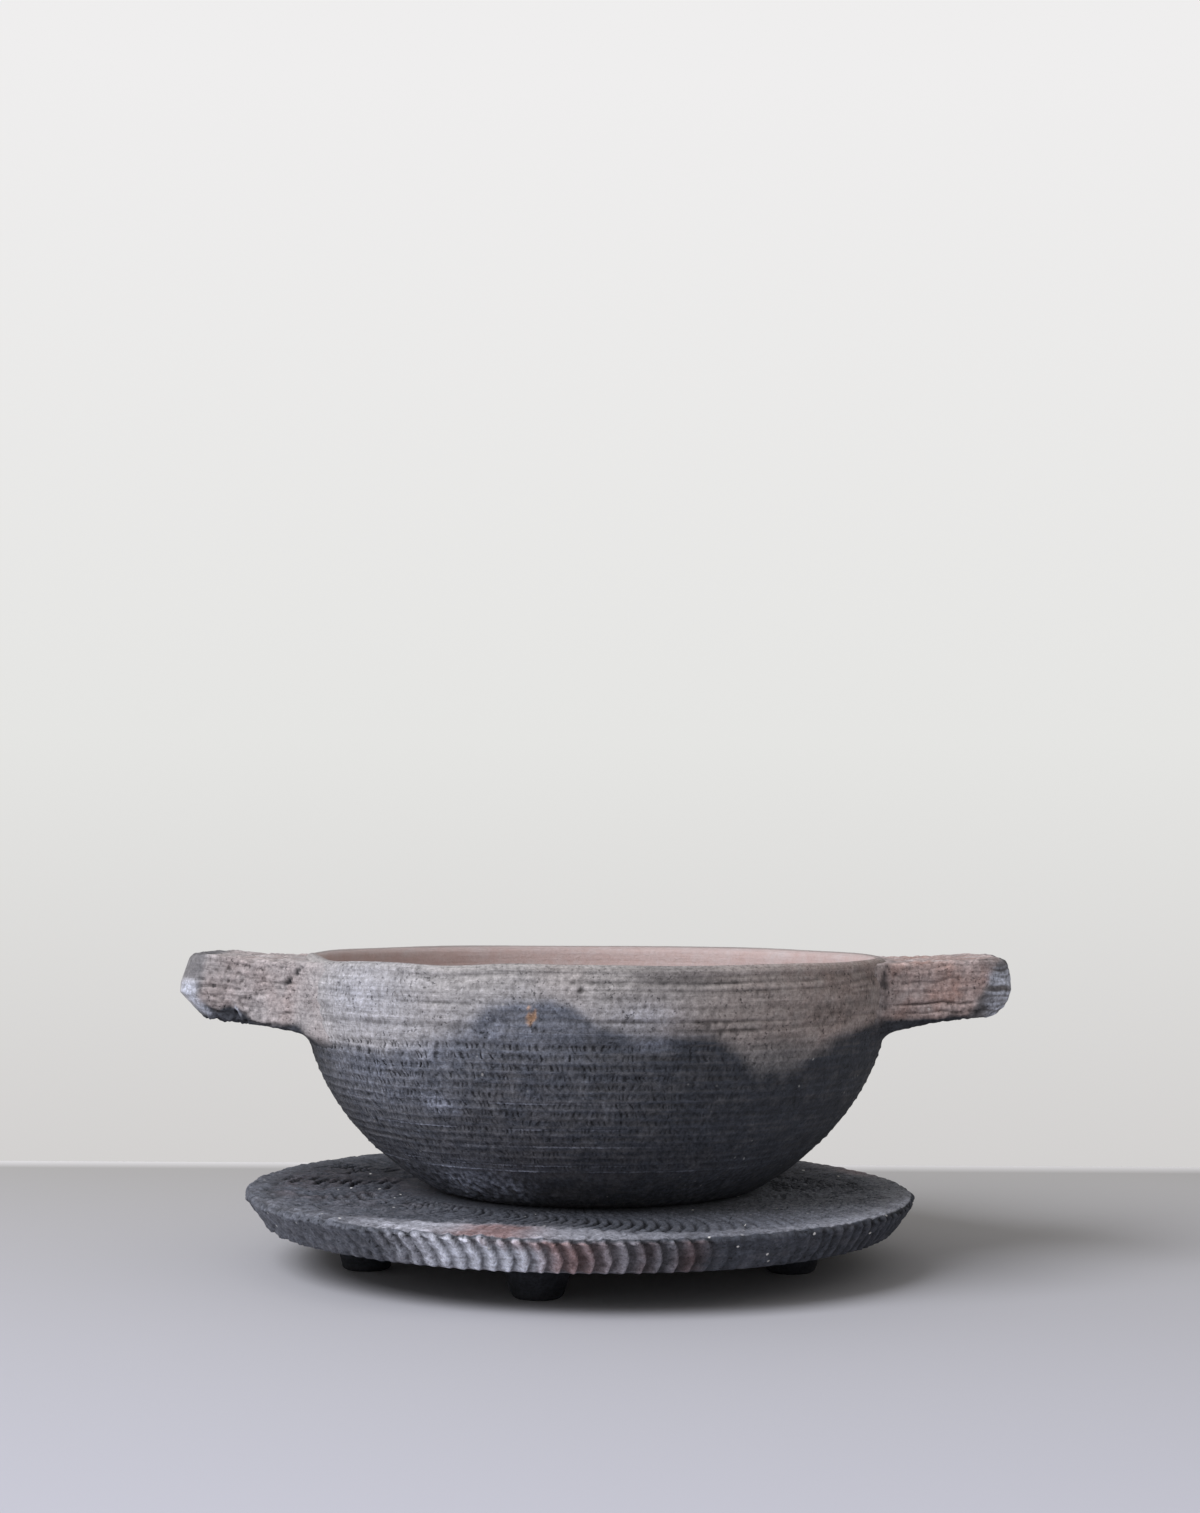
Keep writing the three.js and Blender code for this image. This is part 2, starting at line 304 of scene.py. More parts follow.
    # The clay is dull, and shines a little where a tool or a hand has closed its skin.
    gloss = add_node(
        tree, "MapRange",
        {"Value": kept["rubbed"], "From Min": 0, "From Max": 1, "To Min": 0.88, "To Max": 0.4},
    ).outputs[0]
    tree.links.new(gloss, shader.inputs["Roughness"])
    shader.inputs["Specular IOR Level"].default_value = 0.35

    # Sand, drag marks, pits and strokes stand about half a millimetre proud or deep.
    rough = add_node(tree, "Math", {0: drag, 1: 0.5, 2: 0}, operation="MULTIPLY_ADD").outputs[0]
    rough = add_node(tree, "Math", {0: sand, 1: 0.6, 2: rough}, operation="MULTIPLY_ADD").outputs[0]
    rough = add_node(tree, "Math", {0: pitted, 1: -0.6, 2: rough}, operation="MULTIPLY_ADD").outputs[0]
    rough = add_node(tree, "Math", {0: stroke, 1: -0.8, 2: rough}, operation="MULTIPLY_ADD").outputs[0]
    bump = add_node(tree, "Bump", {"Height": rough, "Distance": 0.8 * mm, "Strength": 0.8})
    tree.links.new(bump.outputs[0], shader.inputs["Normal"])
    return clay


# The stand is nearly all charcoal. Its feet are sooty and painted into shade, so no quartz glints on them.
stand_tones = ("#b4b2ba", "#a9827d", "#44474f", "#cccfda")
stand_streak = (14, 14, 1.4)
foot_clay = smoked_stoneware("smoked_foot_stoneware", *stand_tones, stand_streak, 0)

foot_names = ("foot_left", "foot_front", "foot_right", "foot_back_right", "foot_back_left")
sole_radius = 9.3
neck_radius = 12.75
foot_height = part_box("foot_front")[1].z / mm
foot_edge = 2.2
foot_embed = 0.6
foot_waist = (neck_radius - 1.6, 0.62 * foot_height)
foot_columns = 72
foot_outline = even(
    [(0, 0), (sole_radius - foot_edge, 0)], 1.5
) + even(
    arc((sole_radius - foot_edge, foot_edge), (foot_edge, foot_edge), -90, 0)[1:]
    + [foot_waist, (neck_radius, foot_height + foot_embed)], 0.8
) + [(0, foot_height + foot_embed)]
pattern_foot = turned("stub_foot", foot_outline, foot_columns)
foot_points = points_of(pattern_foot)
for name in foot_names:
    low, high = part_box(name)
    foot = bpy.data.objects.new(name + "_clay", pattern_foot.data.copy())
    bpy.context.collection.objects.link(foot)
    middle = np.array((low + high) / 2) / mm
    set_points(foot, foot_points + [middle[0], middle[1], 0])
    points = points_of(foot)

    # The sole and the luted neck stay true, and thumbs have dented the foot between them.
    free = ease(0.3, 3, points[:, 2]) * (1 - ease(foot_height - 1.5, foot_height, points[:, 2]))
    dent = 0.7 * mottle(points, 9) + 0.3 * mottle(points, 3)
    set_points(foot, points + normals_of(foot) * (free * dent)[:, None])
    store(foot, "grain", points)
    # The feet are sooty through, and their relief is set low to paint the shade under the plate onto them.
    store(foot, "smoke", np.full(len(points), 1.15))
    store(foot, "relief", free * dent * 0.4 - 0.5)
    store(foot, "torn", np.full(len(points), 0.4))
    foot.data.materials.append(foot_clay)
    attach(foot, "stand")
    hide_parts(name)
bpy.data.objects.remove(pattern_foot)


# Stand plate
# A thick disc of the same clay that the pot stands on. Its side leans in and is fluted by a tool that
# chattered as the wheel turned, which also left a ring of bowed marks on the top, inside a smooth border.
stand_clay = smoked_stoneware("smoked_stand_stoneware", *stand_tones, stand_streak, 2.6)
plate_low, plate_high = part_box("stand_plate")
plate_centre = np.array((plate_low + plate_high) / 2)[:2] / mm
plate_radius = (plate_high.x - plate_low.x) / 2 / mm
plate_under = plate_low.z / mm
plate_top = plate_high.z / mm
plate_undercut = 7.8
plate_edge = 2.4
flute_count = 137
columns_in_flute = 5
pot_shade_radius = 65
under_ring = 14
side_ring = 1.0
edge_ring = 0.7
top_ring = 0.63
shade_ring = 9
plate_outline = (
    even([(0, plate_under), (plate_radius - plate_undercut - 4, plate_under)], under_ring)
    + even(
        [
            (plate_radius - plate_undercut - 2, plate_under),
            (plate_radius - plate_undercut, plate_under + 0.5),
            (plate_radius - 0.2, plate_top - plate_edge),
        ], side_ring
    )
    + even(
        arc((plate_radius - plate_edge, plate_top - plate_edge), (plate_edge, plate_edge), 8, 90), edge_ring
    )
    + even([(plate_radius - plate_edge - 1, plate_top), (pot_shade_radius, plate_top)], top_ring)
    + even([(pot_shade_radius - 8, plate_top), (0, plate_top)], shade_ring)
)


def crowd(piece, pull=0.45):
    """Draws the columns of a turned piece closer together at the front, where they are seen."""
    points = points_of(piece)
    radius = np.hypot(points[:, 0], points[:, 1])
    angle = np.arctan2(points[:, 1], points[:, 0])
    angle = angle - pull * np.cos(angle)
    set_points(piece, np.column_stack((radius * np.cos(angle), radius * np.sin(angle), points[:, 2])))


def bearing_of(points):
    """Bearings round the axis in degrees: 0 is the right, 180 the left, and 270 faces the camera."""
    return np.degrees(np.arctan2(points[:, 1], points[:, 0])) % 360


def degrees_off(bearings, centre):
    """How far bearings lie from a centre, from -180 to 180 degrees."""
    return (bearings - centre + 180) % 360 - 180


def lobe(bearings, centre, half_width):
    """A soft lobe round the axis: 1 at its centre, fading over its half width in degrees."""
    return np.exp(-((degrees_off(bearings, centre) / half_width) ** 2))


plate = turned("stand_plate_clay", plate_outline, flute_count * columns_in_flute)
crowd(plate)
points = points_of(plate)
radius = np.hypot(points[:, 0], points[:, 1])
bearing = bearing_of(points)

# Flutes: long slopes that end in a sharp step. Each sweeps left towards the top, where the clay tore.
# They are bold at the front and faint on the left end, which is rough and pitted.
flute_depth = 1.6
flute_ridge = 0.84
flute_bend = 0.3
flute_sweep = 3.6
flute_kick = 1.2
rise = (points[:, 2] - plate_under) / (plate_top - plate_under)
above_bend = np.clip((rise - flute_bend) / (1 - flute_bend), 0, 1)
below_bend = np.clip((flute_bend - rise) / flute_bend, 0, 1)
sweep = -flute_sweep * above_bend ** 1.4 - flute_kick * below_bend
turn = (np.radians(bearing) - sweep / plate_radius) / math.tau * flute_count + 0.12 * mottle(points, 20)
within = turn - np.floor(turn)
slope = np.interp(within, (0, 0.12, 0.72, flute_ridge, 1), (-1, -0.85, -0.06, 0, -1))
on_side = ease(plate_radius - plate_undercut - 3, plate_radius - plate_undercut - 0.5, radius)
on_side *= 1 - ease(0.88, 0.99, rise)
boldness = 0.15 + 0.85 * lobe(bearing, 262, 30) + 0.75 * lobe(bearing, 338, 24)
boldness += 0.15 * mottle(points, 30) + 0.4 * lobe(bearing, 283, 8) - 0.3 * lobe(bearing, 300, 7)
flutes = flute_depth * slope * on_side * boldness
tear_top = np.exp(-(((rise - 0.86) / 0.11) ** 2)) * np.exp(-(((within - 0.06) / 0.17) ** 2))
tear_top *= ease(0.45, 0.8, boldness) * (0.6 + 0.8 * np.abs(mottle(points, 6)))
flutes -= 0.9 * tear_top

# Chatter on the top: bowed marks, every fourth one firm, the others broken by rings and in patches.
# The marks stop at a border, which is wider at a smoothed patch on the front left.
mark_count = 144
firm_every = 4
mark_depth = 1.3
mark_bow = 7.5
mark_start = 69
border_radius = 116
patch_width = 17
mark_end = border_radius - patch_width * lobe(bearing, 256, 23)
on_top = ease(plate_top - 0.4, plate_top - 0.05, points[:, 2])
reach = np.clip((radius - mark_start) / (mark_end - mark_start), 0, 1)
bow = mark_bow * (1 - (2 * reach - 1) ** 2)
turn = (np.radians(bearing) - bow / np.maximum(radius, mark_start)) / math.tau * mark_count
turn += 0.14 * mottle(points, 24)
firm = ease(0.3, 0.75, 0.5 + 0.5 * np.cos(math.tau * turn / firm_every))
groove = np.clip((np.cos(math.tau * turn) - 0.15 + 0.4 * mottle(points, 5)) / 0.7, 0, 1)
ring_cut = np.clip(0.5 + 0.7 * np.cos(math.tau * radius / 7 + 2.5 * mottle(points, 20)), 0, 1)
ring_cut = np.maximum(ring_cut, lobe(bearing, 285, 16) + lobe(bearing, 352, 34))
patchy = np.clip(0.5 + 0.9 * mottle(points, 22), 0.1, 1)
patchy = np.clip(patchy + 0.7 * lobe(bearing, 284, 16) + 0.3 * lobe(bearing, 352, 34), 0, 1)
fade = 0.6 + 0.4 * np.sin(np.pi * reach)
border = ease(-3, 4, radius - mark_end + 2.5 * mottle(points, 9))
marked = on_top * (1 - border) * ease(mark_start - 3, mark_start + 1, radius)
chatter = -mark_depth * groove * fade * marked * (firm + (1 - firm) * 0.9 * ring_cut * patchy)

# Rows of torn dashes at the sides, each as bearing, inner and outer radius, pitch, length, slant and depth.
# Chance slides each dash along its row and makes it longer or shorter.
torn_rows = (
    (153, 86, 117, 4.6, 15, -0.12, 2.0), (174.5, 72, 117, 4.8, 17, -0.12, 2.2),
    (200, 80, 105, 4.6, 15, -0.12, 2.0), (224, 68, 86, 4.2, 13, -0.12, 2.0),
    (6, 74, 109, 3.3, 36, 0.4, 1.6), (344, 72, 92, 3.3, 14, 0.4, 1.0),
)
for row_bearing, inner, outer, pitch, length, slant, depth in torn_rows:
    past = np.radians(degrees_off(bearing, row_bearing)) * radius + 2.5 * mottle(points, 14)
    phase = (radius + slant * past + 0.9 * mottle(points, 8)) / pitch
    draw = np.round(phase) * 2.7
    luck = mottle(np.column_stack((draw, draw + 9.3, np.full(len(draw), row_bearing))), 1)
    spread = length * np.clip(0.8 + luck, 0.4, 1.3)
    dash = np.clip((np.cos(math.tau * phase) + 0.25) / 0.5, 0, 1)
    dash *= np.exp(-((2 * (past - 0.7 * length * luck) / spread) ** 2))
    dash *= ease(inner - 2, inner + 2, radius) * (1 - ease(outer - 2, outer + 2, radius))
    chatter -= depth * dash * on_top * np.clip(0.8 + 1.3 * mottle(points, 7), 0.15, 1)

# The skin is crumbly and pitted, most of all on the left end, and crumbs broke from the upper edge.
# The rim tilts a little, because the plate warped in the fire.
rough_end = lobe(bearing, 205, 26)
crumble = (0.3 * mottle(points, 5) + 0.22 * mottle(points, 2.2)) * (1 + 1.2 * rough_end)
pits = -1.0 * np.clip(mottle(points, 2.4) - 0.28, 0, 0.5) * (1 + 0.6 * rough_end)
edge_crumbs = np.exp(-(((points[:, 2] - plate_top + 1.0) / 1.5) ** 2)) * ease(118, 124, radius)
edge_crumbs *= 0.5 + 0.7 * lobe(bearing, 250, 60) + 0.8 * lobe(bearing, 345, 20)
warp = -0.0075 * points[:, 0] * ease(66, plate_radius, radius)
relief = flutes + chatter + (crumble + pits) * np.maximum(on_side, on_top * ease(68, 76, radius))
relief += edge_crumbs * (1.1 * mottle(points, 3.2) + 0.5 * mottle(points, 1.6))
moved = points + normals_of(plate) * relief[:, None]
moved[:, 2] += warp
moved[:, :2] += plate_centre
set_points(plate, moved)

# Pale skin as bearing and share: a patch at the front left where the fire burned clean, with red blooms.
pale_top = (
    (200, 0.05), (225, 0.1), (234, 0.35), (241, 0.75), (247, 0.8), (252, 0.75), (262, 0.65), (273, 0.4),
    (290, 0.12), (312, 0.2),
)
pale_side = (
    (236, 0), (243, 0.3), (249, 0.95), (263, 1), (268, 0.75), (273, 0.45), (279, 0.22), (286, 0.12), (291, 0),
)
skirt = on_top * ease(-6, 7, radius - mark_end - 1 + 5 * mottle(points, 9))
pale = skirt * np.interp(bearing, *zip(*pale_top)) + on_side * np.interp(bearing, *zip(*pale_side))
rosy = skirt * (1.2 * lobe(bearing, 256, 7) + 0.8 * lobe(bearing, 25, 9))
rosy += on_side * (lobe(bearing, 270, 7) + 0.7 * lobe(bearing, 281, 2) + 0.9 * lobe(bearing, 288, 3))
rosy += on_side * 0.6 * lobe(bearing, 259, 8) * ease(0.5, 0.8, rise)
store(plate, "grain", moved)
# The shading stored as relief darkens the hollows with soot and painted shade, and sets the side and the top
# a little brighter.
shading = 0.8 * np.where(on_side > 0.5, relief, np.maximum(relief, -1))
shading += 0.42 * on_side + 0.2 * on_top
# Painted light on the outer top to the right, where the pot's shadow falls. The right of the side is a little
# darker.
painted_light_right = on_top * lobe(bearing, 345, 40) * ease(48, 76, radius)
shading += 0.6 * painted_light_right - 0.12 * on_side * lobe(bearing, 303, 20)
shading += (0.14 * pale - 0.24 * np.clip(rosy, 0, 1)) * on_side
# Painted light and shade on the flutes on the right of the side, after the slope of each face.
shading += 0.6 * (slope + 0.4) * on_side * lobe(bearing, 330, 18)
store(plate, "relief", shading - 0.45 * tear_top)
clean = 0.95 * pale + 0.18 * lobe(bearing, 273, 11) * on_side + 0.4 * skirt * lobe(bearing, 25, 10)
clean += 0.2 * lobe(bearing, 288, 3) * on_side
warm_top = on_top * lobe(bearing, 188, 34) * (1 - border)
store(plate, "smoke", 1.0 - clean - 0.05 * warm_top)
store(plate, "flush", np.clip(rosy + 0.8 * warm_top, 0, 1))
# Ash on the top's left, and on the outer top to the right painted light in the colour of ash.
ash_and_painted_light = 0.08 * lobe(bearing, 215, 40) * ease(48, 76, radius) + 0.3 * painted_light_right
unflushed = 1 - 0.85 * np.clip(rosy, 0, 1)
store(plate, "ash", (0.5 + 0.6 * on_side) * pale * unflushed + ash_and_painted_light)
store(plate, "torn", 0.9 - 0.5 * pale)
store(plate, "rubbed", 0.2 * border * on_top)
plate.data.materials.append(stand_clay)
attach(plate, "stand")
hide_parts("stand_plate")


# Bowl
# Thrown in one piece of coarse clay: a trimmed base, a belly scraped with a tool that chattered, and a
# band under the lip drawn smooth with a rib. Soot turned the belly black and left the band pale.
bowl_low, bowl_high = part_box("pot_bowl")
seat = bowl_low.z / mm
pot_height = bowl_high.z / mm - seat
shoulder_radius = bowl_high.x / mm
shoulder_drop = 11
rim_radius = 112
base_radius = 61
wall = 7
lip = 6
floor_thickness = 8
base_roll = 1.6
neck_curve = (30, 24)
bowl_columns = 540
skin_ring = 1.12
lip_ring = 1.2
mouth_ring = 1.3
inside_ring = 4.2
floor_ring = 5
base_ring = 15
shoulder_height = pot_height - shoulder_drop
belly_depth = shoulder_height / math.sqrt(1 - (base_radius / shoulder_radius) ** 2)
floor_angle = -math.degrees(math.asin((shoulder_height - floor_thickness) / (belly_depth - wall)))
roll_angle = -math.degrees(math.asin((shoulder_height - base_roll) / belly_depth))
belly = arc((0, shoulder_height), (shoulder_radius, belly_depth), roll_angle, 0)
neck = arc((shoulder_radius - neck_curve[0], shoulder_height), neck_curve, 0, 19, 12)
lip_round = arc((rim_radius - lip / 2, pot_height - lip / 2), (lip / 2, lip / 2), 10, 172, 20)
inside = arc((0, shoulder_height), (shoulder_radius - wall, belly_depth - wall), 4, floor_angle)

# The outline gets close rings at five wheel lines of the belly and at three grooves of the band.
wheel_lines = (15.6, 17.8, 25.2, 31.6, 41.0, 69.5, 80.0, 82.7)
line_width = 0.4
outer_skin = even([(base_radius - 1.2, 0)] + belly + neck[1:] + lip_round[:1], skin_ring)[:-1]
skin_radii, skin_heights = zip(*outer_skin)
for line in wheel_lines:
    for place in (line - line_width, line, line + line_width):
        outer_skin.append((np.interp(place, skin_heights, skin_radii), place))
outer_skin.sort(key=lambda corner: corner[1])
bowl_outline = (
    even([(0, 0), (base_radius - 3, 0)], base_ring)
    + outer_skin
    + even(lip_round, lip_ring)
    + even(inside[:9], mouth_ring)[:-1]
    + even(inside[8:] + [(inside[-1][0] - 3, floor_thickness + 0.4)], inside_ring)
    + even([(inside[-1][0] - 6, floor_thickness), (0, floor_thickness)], floor_ring)
)
bowl = turned("pot_bowl_clay", bowl_outline, bowl_columns)
crowd(bowl)
points = points_of(bowl)
radius = np.hypot(points[:, 0], points[:, 1])
bearing = bearing_of(points)
height = points[:, 2]
ring_points = points * [1, 1, 0]

# The outer skin and the inside are told apart by the outline. Marks are drawn on the skin unrolled to a
# cylinder, so that they keep their size from the base to the lip.
profile = np.array([(0, 0)] + belly + neck[1:] + [(rim_radius, pot_height)])
outer = np.interp(height, profile[:, 1], profile[:, 0])
outside = ease(-5, -2.5, radius - outer) * ease(base_radius - 6, base_radius - 2, radius)
inward = (1 - outside) * ease(floor_thickness - 1, floor_thickness, height)
along = np.concatenate(([0], np.cumsum(np.hypot(*np.diff(profile, axis=0).T))))
way_up = np.interp(height, profile[:, 1], along)
unrolled = np.column_stack(
    (
        shoulder_radius * np.cos(np.radians(bearing)),
        shoulder_radius * np.sin(np.radians(bearing)),
        way_up + np.maximum(outer - radius, 0),
    )
)

# The lip dips and rises a little, as a thrown lip does.
lip_wave = -0.9 * lobe(bearing, 208, 9) - 0.6 * lobe(bearing, 241, 7) + 0.3 * lobe(bearing, 255, 6)
lip_wave += 0.35 * mottle(ring_points, 45) + 1.0 * lobe(bearing, 191, 9)
near_lip = ease(pot_height - 14, pot_height - 2, height)
on_lip = ease(pot_height - 3.5, pot_height - 1, height)

# Band: long drag lines from the rib, six firm grooves that show most on the right, and clusters of pits.
# Each groove is a height and a depth.
band_edge = 62.5 + 0.8 * mottle(ring_points, 30) - 2.5 * lobe(bearing, 212, 25)
above = ease(-0.6, 0.9, height - band_edge)
on_band = outside * above * (1 - ease(pot_height - 3, pot_height - 0.5, height))
fan = 2.4 * lobe(bearing, 196, 22) * (height - 75) / 13 + 1.5 * lobe(bearing, 330, 25)
lines = mottle(np.column_stack((unrolled[:, :2] / 55, (way_up - fan) / 1.9)), 1)
lines += 0.6 * mottle(np.column_stack((unrolled[:, :2] / 30, (way_up - fan) / 1.1)), 1)
drag = (0.44 * lines - 0.6 * np.clip(lines - 0.3, 0, 1)) * on_band
band_grooves = ((82.7, 0.34), (80.0, 0.32), (77.4, 0.32), (72.6, 0.32), (69.5, 0.34), (66.6, 0.32))
for groove, depth in band_grooves:
    climb = 3.5 * ease(305, 345, bearing) * (1 - on_lip)
    apart = height - groove - climb - 0.4 * mottle(ring_points, 40)
    reach = (lobe(bearing, 300, 30) + 0.2) * np.clip(0.8 + 1.2 * mottle(points * [1, 1, 4], 16), 0.1, 1)
    drag -= depth * reach * np.exp(-((apart / 0.5) ** 2)) * outside
pit_patch = ease(0.0, 0.4, mottle(points * [1, 1, 2.2], 20))
pits = -1.5 * np.clip(mottle(points * [1, 1, 0.7], 1.9) - 0.22, 0, 0.6) * pit_patch * on_band

# Belly: rows 3.6 mm apart under thin ridges, each row torn into short upright strokes 2 mm apart.
# They fade on the right, where the clay was rubbed. Low down the tool's corner left thin raised lines.
row_pitch = 3.6
stroke_count = 350
row = (way_up + 0.9 * mottle(ring_points, 30)) / row_pitch
tier = np.floor(row)
step = row - tier
beat = (bearing - 90) % 360 / 360 * stroke_count + 1.6 * mottle(unrolled, 7)
stroke = np.cos(math.tau * (beat + stroke_slip * tier + stroke_lean * step + 0.5))
tears = -np.clip(stroke + 0.1, 0, 1) * np.sin(np.pi * np.clip((step - 0.05) / 0.6, 0, 1))
tears *= np.clip(0.85 + 0.5 * mottle(points * [1, 1, 1.6], 9) + 0.7 * mottle(points, 3), 0.1, 1.4)
ridge = np.exp(-(((step - 0.88) / 0.12) ** 2))
on_belly = outside * (1 - above) * ease(13, 18, height)
strength = (0.75 + 0.25 * ease(26, 48, height)) * (1 - 0.9 * lobe(bearing, 325, 36))
chatter = on_belly * (0.3 * ridge + 0.6 * strength * tears)

# Raised threads on the lowest wheel lines, each as bearing, half width and share.
wheel = np.zeros(len(points))
thread_reach = ((242, 50, 1), (236, 34, 1), (262, 16, 0.5), (240, 30, 0.7), (250, 22, 0.4))
broken = np.clip(0.6 + 1.2 * mottle(points * [1, 1, 6], 14), 0.1, 1)
for line, (middle, spread, share) in zip(wheel_lines, thread_reach):
    thread = share * lobe(bearing, middle, spread) * broken
    wheel = np.maximum(wheel, thread * np.exp(-(((height - line) / 0.25) ** 2)))
wheel *= outside
chatter = chatter * (1 - wheel) + 0.25 * wheel
trimmed = outside * (1 - ease(12, 17, height))
finger_rings = 0.15 * np.cos(math.tau * way_up / 8 + 0.6 * mottle(points, 40)) * inward

# The wall swells a little and is gritty, the belly lies a step behind the band, the base is scuffed, and a
# chip has broken out of the band.
chip_bearing = 258.9
chip_height = 71.6
chip_half_width = 1.15
chip_half_height = 3.4
chip_depth = 0.3
swell = 0.5 * mottle(points, 60) * ease(4, 20, height)
grit = 0.2 * mottle(points, 2.4) + 0.26 * mottle(points, 1.6) * on_belly * strength
crumble = (grit + 0.14 * mottle(points, 6)) * outside
step_down = -0.35 * on_belly * ease(6, 0, band_edge - height)
scuffs = 0.6 * mottle(points, 1.7) * trimmed * (0.3 + 0.7 * lobe(bearing, 232, 34))
relief = drag + pits + chatter + scuffs + crumble * (1 - 0.3 * trimmed) * (1 - 0.75 * on_lip)
chip_off = np.hypot((bearing - chip_bearing) / chip_half_width, (height - chip_height) / chip_half_height)
chip = ease(0.3, 0.6, np.exp(-chip_off ** 2) * (0.75 + 0.9 * mottle(points, 1.9))) * outside
relief -= chip_depth * chip
moved = points + normals_of(bowl) * (relief + step_down + swell * outside + finger_rings)[:, None]
moved[:, 2] += near_lip * lip_wave + seat
set_points(bowl, moved)

# Edge of the smoke as bearing and height: it climbs in lobes and leaves a brown lobe clear on the right.
smoke_edge = (
    (0, 64), (35, 72), (65, 62), (95, 54), (125, 60), (150, 68), (180, 60), (205, 57.5), (215, 58.5),
    (227, 57.5), (237, 60.5), (243, 63.5), (247, 67.5), (251, 75), (256, 77.5), (262, 77), (266, 74.5),
    (270, 69.5), (277, 67), (284, 66), (291, 66.4), (295, 62.5), (298, 57.5), (302, 54.5), (308, 55),
    (313, 57.5), (320, 61.5), (326, 64.5), (334, 67), (345, 66), (360, 64),
)
soot_line = np.interp(bearing, *zip(*smoke_edge)) + 1.8 * mottle(points, 14)
softness = 3 + 3 * lobe(bearing, 243, 8) + 4.5 * lobe(bearing, 307, 15) - 0.8 * lobe(bearing, 264, 10)
smoke = 1 - ease(-1, 1, (height - soot_line) / softness)
smoke = np.maximum(smoke, 0.2 * lobe(bearing, 328, 36) + 0.03)
smoke = np.maximum(smoke, 0.62 * (1 - ease(45, 57, height)))
smoke = np.maximum(smoke, 0.6 * lobe(bearing, 306, 15) * (1 - ease(58, 69, height)))
smoke = np.maximum(smoke, 0.36 * lobe(bearing, 283, 11) * ease(74, 82, height))
smoke = smoke * (0.9 + 0.1 * lobe(bearing, 320, 50)) * outside + 0.07 * inward
brown = 0.42 * lobe(bearing, 324, 34) * ease(52, 66, height) + 0.2 * np.clip(mottle(points, 28), 0, 1)

# Ash that settled, as bearing, height, size and share.
ash_marks = np.zeros(len(points))
ash_spots = (
    (238, 40, 5, 0.4), (231, 8, 8, 0.48), (246, 8, 7, 0.4), (280, 61.5, 4, 0.3), (258, 70, 17, 0.26),
    (222, 48, 24, 0.21), (262, 45, 26, 0.07), (240, 60, 12, 0.16), (222, 6, 36, 0.16), (279, 71, 9, 0.3),
    (300, 3, 40, 0.07), (222, 76, 22, 0.34), (238, 12, 9, 0.16),
)
for ash_bearing, ash_height, ash_size, ash_share in ash_spots:
    apart = np.hypot((bearing - ash_bearing) * 1.3, (height - ash_height) * 1.6)
    ash_marks += ash_share * np.exp(-((apart / ash_size) ** 2))
ash_marks *= 1 + 2.2 * trimmed * np.clip(mottle(points + 50, 1.9), -0.45, 1)
store(bowl, "grain", unrolled + (points - unrolled) * inward[:, None])
# The lower belly on the right is painted a little darker, partly deeper soot and partly painted shade.
soot_and_shade_right = lobe(bearing, 318, 24) * (1 - ease(45, 58, height)) * ease(14, 24, height)
store(bowl, "relief", relief + 0.3 * inward - 0.12 * soot_and_shade_right)
store(bowl, "calm", 0.85 * inward + 0.1 * on_band)
store(bowl, "smoke", smoke)
store(bowl, "flush", brown * outside + 0.6 * inward)
store(bowl, "ash", np.clip(ash_marks * outside + 0.7 * wheel + 0.12 * inward, 0, 1))
store(bowl, "torn", outside * (0.7 - 0.3 * trimmed))
store(bowl, "tier", row)
store(bowl, "beat", beat)
store(bowl, "tooled", on_belly * strength * np.clip(0.8 + 0.6 * mottle(points, 16), 0.2, 1) * (1 - wheel))
store(bowl, "rubbed", 0.25 * trimmed + 0.1 * inward)
store(bowl, "chip", chip)

# The pot's clay is beige and charcoal, with long level drag marks and few bright grains.
pot_clay = smoked_stoneware(
    "smoked_pot_stoneware", "#b3aeab", "#c3a497", "#3f4249", "#c0c6d8", (34, 34, 1.1), 0.5
)
bowl.data.materials.append(pot_clay)
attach(bowl, "pot")
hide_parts("pot_bowl")


# Slab handles
# Two blocks of the same clay, cut with a wire, luted to the shoulder and smeared onto its wall. Their
# sides are dragged into torn grooves, their undersides crumble, and the ends were patted with a paddle.
def slab(name, box, lengths):
    """A box cut into a fine grid, to be pushed into shape. The lengths are its cells' sizes in mm."""
    low, high = (np.array(corner) for corner in box)
    bpy.ops.object.select_all(action="DESELECT")
    bpy.ops.mesh.primitive_cube_add(size=1, location=(low + high) / 2)
    piece = bpy.context.object
    piece.name = name
    piece.data.name = name
    bpy.ops.object.mode_set(mode="EDIT")
    bpy.ops.mesh.select_all(action="SELECT")
    bpy.ops.transform.resize(value=high - low)
    bpy.ops.mesh.select_mode(type="EDGE")
    for axis in range(3):
        bpy.ops.mesh.select_all(action="DESELECT")
        bpy.ops.object.mode_set(mode="OBJECT")
        for edge in piece.data.edges:
            ends = [piece.data.vertices[end].co for end in edge.vertices]
            across = ends[1] - ends[0]
            edge.select = abs(across[axis]) > 0.99 * across.length
        bpy.ops.object.mode_set(mode="EDIT")
        cuts = round((high - low)[axis] / (lengths[axis] * mm)) - 1
        bpy.ops.mesh.subdivide(number_cuts=cuts)
    bpy.ops.object.mode_set(mode="OBJECT")
    bpy.ops.object.transform_apply(location=True, rotation=False, scale=True)
    bpy.ops.object.shade_smooth()
    return piece


